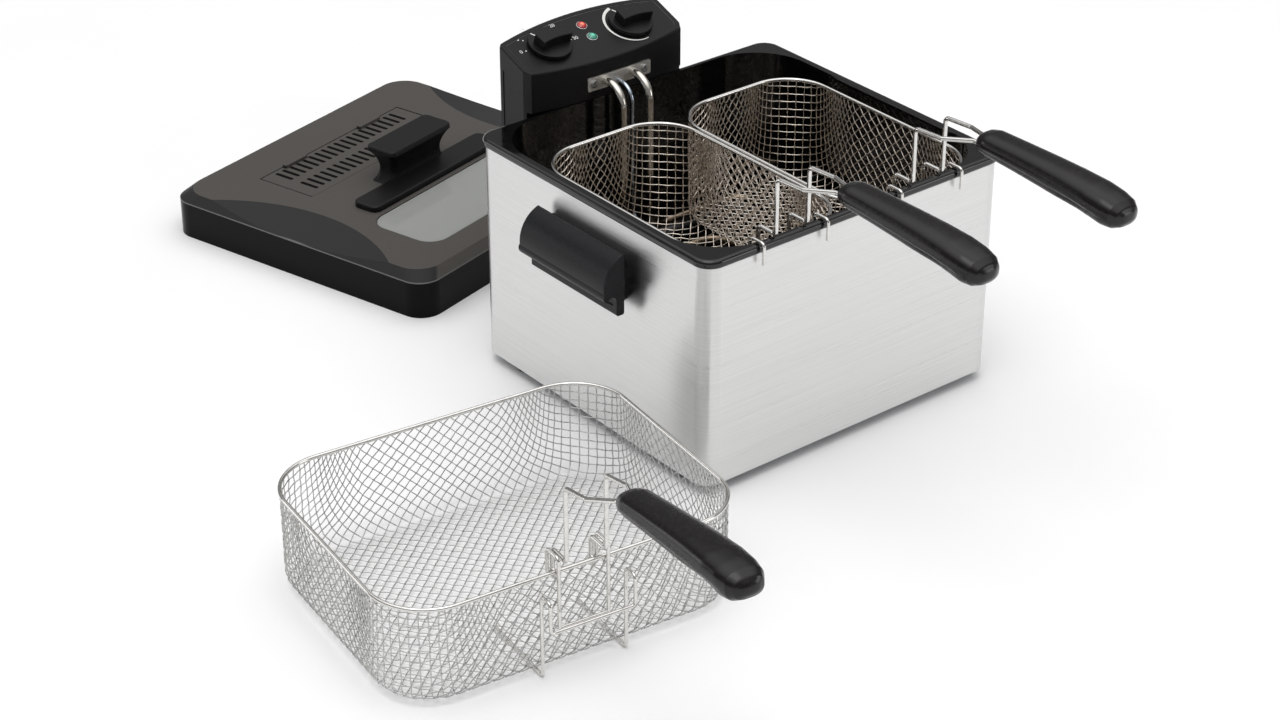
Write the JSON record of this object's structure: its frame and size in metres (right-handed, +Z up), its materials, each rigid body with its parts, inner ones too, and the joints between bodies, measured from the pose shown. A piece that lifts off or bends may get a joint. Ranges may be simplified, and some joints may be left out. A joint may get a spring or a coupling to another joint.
{
  "type": "deep fryer",
  "caption": "Electric deep fryer: steel housing, lift-out enamelled tank, rear control head with immersed element, wire baskets with folding handles, and a vented lid with a window.",
  "frame": {"origin": "middle of the fryer's stand, on the plane of its four feet; the lid lies behind it and the large basket to its front left", "axes": "+Z up, +Y towards the control head, -Y the front with the basket handles, +X to the right"},
  "size_m": [0.7111, 1.1143, 0.2896],
  "materials": {
    "brushed_steel": "horizontally brushed stainless sheet",
    "zinc_sheet": "galvanised sheet",
    "black_rubber": "matt",
    "screw_steel": "zinc plated",
    "charcoal_phenolic": "satin moulded",
    "black_enamel": "glossy vitreous enamel",
    "black_plastic": "satin moulded",
    "red_lens": "clear red",
    "green_lens": "clear green",
    "bracket_steel": "satin stainless",
    "element_steel": "polished sheath",
    "capillary_steel": "polished",
    "brass_pin": "plated",
    "red_button": "moulded",
    "white_plastic": "moulded",
    "basket_mesh": "nickel plated woven wire",
    "basket_wire": "bright nickel plate",
    "grip_phenolic": "satin moulded",
    "lid_coat": "satin dark grey-brown coat, gloss black skirt",
    "clear_glass": "tempered",
    "seal_silicone": "silicone",
    "filter_foam": "charcoal foam"
  },
  "bodies": {
    "housing": {"outer_housing": "brushed_steel", "base_plate": "zinc_sheet", "feet": "black_rubber", "foot_screws": "screw_steel", "right_side_handle": "charcoal_phenolic", "left_side_handle": "charcoal_phenolic", "side_handle_screws": "screw_steel", "rear_rails": "zinc_sheet", "rail_rivets": "screw_steel"},
    "tank": {"oil_tank": "black_enamel"},
    "control_head": {"head_front_shell": "black_plastic", "head_back_cover": "black_plastic", "case_screws": "screw_steel", "control_panel": "black_plastic", "power_lamp": "red_lens", "ready_lamp": "green_lens", "timer_movement": "white_plastic", "thermostat_body": "white_plastic", "element_bracket": "bracket_steel", "bracket_screws": "screw_steel", "heating_element": "element_steel", "thermostat_bulb": "capillary_steel", "bulb_clip": "bracket_steel", "interlock_switch": "black_plastic", "power_inlet": "black_plastic", "inlet_pins": "brass_pin", "thermal_cutout": "white_plastic"},
    "timer_dial": {"timer_knob": "black_plastic", "timer_shaft": "screw_steel"},
    "thermostat_dial": {"thermostat_knob": "black_plastic", "thermostat_shaft": "screw_steel"},
    "reset": {"reset_button": "red_button"},
    "lid": {"lid_shell": "lid_coat", "lid_window": "clear_glass", "window_seal": "seal_silicone", "lid_handle": "black_plastic", "lid_handle_screws": "screw_steel", "filter_pad": "filter_foam"},
    "lid_filter_cover": {"filter_cover": "lid_coat"},
    "left_basket": {"left_basket_mesh": "basket_mesh", "left_basket_rim_wire": "basket_wire", "left_basket_hook_wire": "basket_wire", "left_basket_handle_bracket": "basket_wire"},
    "left_basket_handle": {"left_basket_handle_wire": "basket_wire", "left_basket_grip": "grip_phenolic"},
    "right_basket": {"right_basket_mesh": "basket_mesh", "right_basket_rim_wire": "basket_wire", "right_basket_hook_wire": "basket_wire", "right_basket_handle_bracket": "basket_wire"},
    "right_basket_handle": {"right_basket_handle_wire": "basket_wire", "right_basket_grip": "grip_phenolic"},
    "large_basket": {"large_basket_mesh": "basket_mesh", "large_basket_rim_wire": "basket_wire", "large_basket_hook_wire": "basket_wire", "large_basket_handle_bracket": "basket_wire"},
    "large_basket_handle": {"large_basket_handle_wire": "basket_wire", "large_basket_grip": "grip_phenolic"}
  },
  "joints": [
    {"name": "tank_lift", "type": "slide", "parent": "housing", "child": "tank", "axis": [0, 0, 1], "range_m": [0, 0.2]},
    {"name": "control_head_lift", "type": "slide", "parent": "tank", "child": "control_head", "axis": [0, 0, 1], "range_m": [0, 0.18]},
    {"name": "timer_turn", "type": "hinge", "parent": "control_head", "child": "timer_dial", "pos_m": [-0.064, 0.18, 0.26392], "axis": [0, 0.342, -0.9397], "range_deg": [0, 300]},
    {"name": "thermostat_turn", "type": "hinge", "parent": "control_head", "child": "thermostat_dial", "pos_m": [0.024, 0.178, 0.26319], "axis": [0, 0.342, -0.9397], "range_deg": [0, 270]},
    {"name": "reset_press", "type": "slide", "parent": "control_head", "child": "reset", "axis": [0, -1, 0], "range_m": [0, 0.002], "stiffness_N_per_m": 400},
    {"name": "lid_lift", "type": "slide", "parent": "housing", "child": "lid", "axis": [0, 0, 1], "range_m": [0, 0.2]},
    {"name": "filter_cover_hinge", "type": "hinge", "parent": "lid", "child": "lid_filter_cover", "pos_m": [-0.05616, 0.47041, 0.0427], "axis": [0.9632, 0.2689, 0], "range_deg": [0, 80]},
    {"name": "left_basket_lift", "type": "slide", "parent": "control_head", "child": "left_basket", "axis": [0, 0, 1], "range_m": [0, 0.15]},
    {"name": "left_basket_handle_fold", "type": "hinge", "parent": "left_basket", "child": "left_basket_handle", "pos_m": [-0.0745, -0.13, 0.2], "axis": [-1, 0, 0], "range_deg": [0, 150]},
    {"name": "right_basket_lift", "type": "slide", "parent": "control_head", "child": "right_basket", "axis": [0, 0, 1], "range_m": [0, 0.15]},
    {"name": "right_basket_handle_fold", "type": "hinge", "parent": "right_basket", "child": "right_basket_handle", "pos_m": [0.0745, -0.13, 0.2], "axis": [-1, 0, 0], "range_deg": [0, 150]},
    {"name": "large_basket_lift", "type": "slide", "parent": "housing", "child": "large_basket", "axis": [0, 0, 1], "range_m": [0, 0.15]},
    {"name": "large_basket_handle_fold", "type": "hinge", "parent": "large_basket", "child": "large_basket_handle", "pos_m": [-0.37339, -0.25113, 0.0771], "axis": [-0.9917, 0.1288, 0], "range_deg": [0, 135]}
  ]
}
